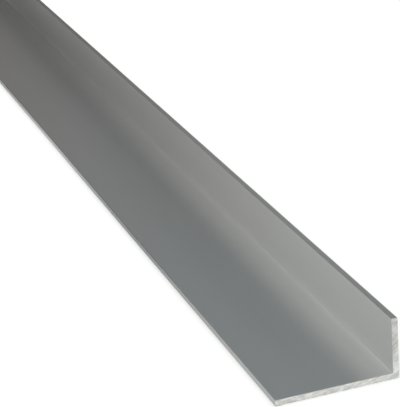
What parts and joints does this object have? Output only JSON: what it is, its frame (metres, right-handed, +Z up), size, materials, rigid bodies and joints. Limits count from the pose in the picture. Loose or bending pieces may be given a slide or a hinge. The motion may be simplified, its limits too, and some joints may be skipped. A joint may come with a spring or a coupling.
{
  "type": "unequal angle section",
  "caption": "Straight length of extruded aluminium angle with one long flat leg and one short upright leg, used for framing, edging, brackets and corner support.",
  "frame": {"origin": "centre of the flat underside of the long leg, halfway along the length, on the level that the section rests on", "axes": "+Y along the length, +X across the long leg towards the heel and the short leg, +Z up along the short leg"},
  "size_m": [0.06, 1, 0.03],
  "materials": {
    "mill_aluminium": "satin mill finish with fine lines along the length, and brighter sawn ends"
  },
  "bodies": {
    "root": {"angle_section": "mill_aluminium"}
  },
  "joints": []
}
